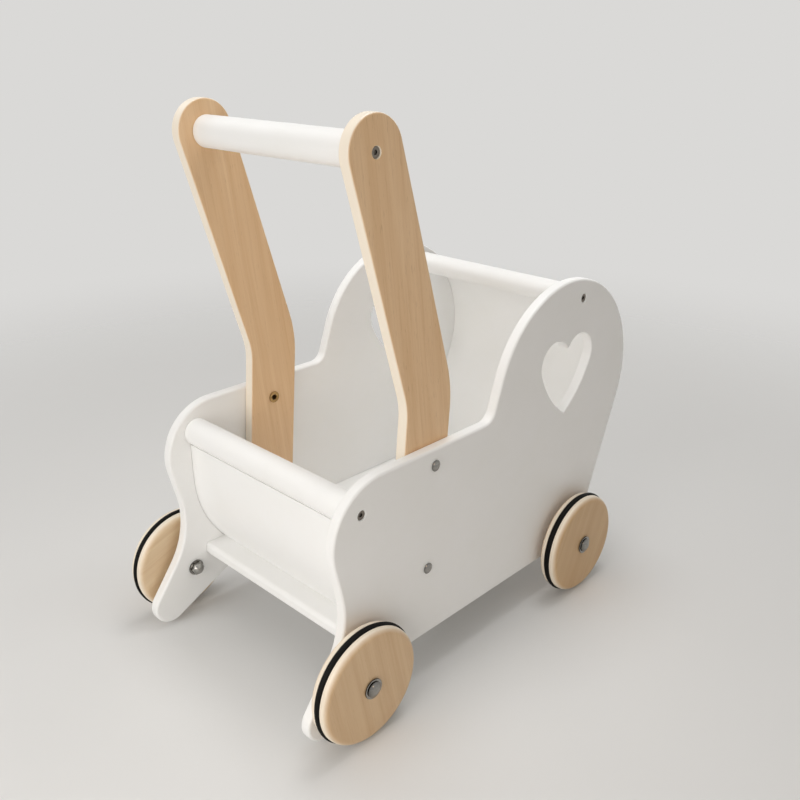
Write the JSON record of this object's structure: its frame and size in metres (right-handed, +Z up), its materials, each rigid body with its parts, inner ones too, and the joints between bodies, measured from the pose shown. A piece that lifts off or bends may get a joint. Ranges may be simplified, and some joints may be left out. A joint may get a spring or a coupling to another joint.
{
  "type": "doll stroller",
  "caption": "Wooden toy doll stroller: white panel sides with heart cut-outs and a hood, a bed between them, birch push arms with a round handle bar and rubber-ringed wheels.",
  "frame": {"origin": "on the ground under the middle of the bounding box", "axes": "+X towards the hood (forward), +Y to the left, +Z up"},
  "size_m": [0.4197, 0.2812, 0.465],
  "materials": {
    "white_paint": "plywood and beech under white satin paint",
    "birch": "clear satin lacquer",
    "rubber": "moulded, matt black",
    "zinc": "zinc plated",
    "dark_steel": "black oxide",
    "brass": "brass plated"
  },
  "bodies": {
    "stroller_body": {"right_side_panel": "white_paint", "left_side_panel": "white_paint", "floor_board": "white_paint", "front_sheet": "white_paint", "rear_sheet": "white_paint", "hood_dowel": "white_paint", "rear_dowel": "white_paint", "handle_bar": "white_paint", "right_arm": "birch", "left_arm": "birch", "right_upper_arm_bolt": "zinc", "right_lower_arm_bolt": "zinc", "left_upper_arm_bolt": "zinc", "left_lower_arm_bolt": "zinc", "rear_right_axle_bolt": "zinc", "rear_right_hub_washer": "zinc", "rear_right_spacer": "zinc", "rear_right_inner_washer": "zinc", "rear_right_cap_nut": "zinc", "rear_left_axle_bolt": "zinc", "rear_left_hub_washer": "zinc", "rear_left_spacer": "zinc", "rear_left_inner_washer": "zinc", "rear_left_cap_nut": "zinc", "front_right_axle_bolt": "zinc", "front_right_hub_washer": "zinc", "front_right_spacer": "zinc", "front_right_inner_washer": "zinc", "front_right_cap_nut": "zinc", "front_left_axle_bolt": "zinc", "front_left_hub_washer": "zinc", "front_left_spacer": "zinc", "front_left_inner_washer": "zinc", "front_left_cap_nut": "zinc", "right_hood_screw": "dark_steel", "left_hood_screw": "dark_steel", "right_rear_screw": "dark_steel", "left_rear_screw": "dark_steel", "right_handle_screw": "dark_steel", "left_handle_screw": "dark_steel", "right_upper_arm_sleeve_nut": "brass", "right_lower_arm_sleeve_nut": "brass", "left_upper_arm_sleeve_nut": "brass", "left_lower_arm_sleeve_nut": "brass"},
    "rear_right_wheel_body": {"rear_right_wheel": "birch", "rear_right_tyre": "rubber"},
    "rear_left_wheel_body": {"rear_left_wheel": "birch", "rear_left_tyre": "rubber"},
    "front_right_wheel_body": {"front_right_wheel": "birch", "front_right_tyre": "rubber"},
    "front_left_wheel_body": {"front_left_wheel": "birch", "front_left_tyre": "rubber"}
  },
  "joints": [
    {"name": "rear_right_wheel_spin", "type": "hinge", "parent": "stroller_body", "child": "rear_right_wheel_body", "pos_m": [-0.1599, -0.1268, 0.05], "axis": [0, 1, 0], "continuous": true},
    {"name": "rear_left_wheel_spin", "type": "hinge", "parent": "stroller_body", "child": "rear_left_wheel_body", "pos_m": [-0.1599, 0.1268, 0.05], "axis": [0, 1, 0], "continuous": true},
    {"name": "front_right_wheel_spin", "type": "hinge", "parent": "stroller_body", "child": "front_right_wheel_body", "pos_m": [0.1266, -0.1268, 0.05], "axis": [0, 1, 0], "continuous": true},
    {"name": "front_left_wheel_spin", "type": "hinge", "parent": "stroller_body", "child": "front_left_wheel_body", "pos_m": [0.1266, 0.1268, 0.05], "axis": [0, 1, 0], "continuous": true}
  ]
}
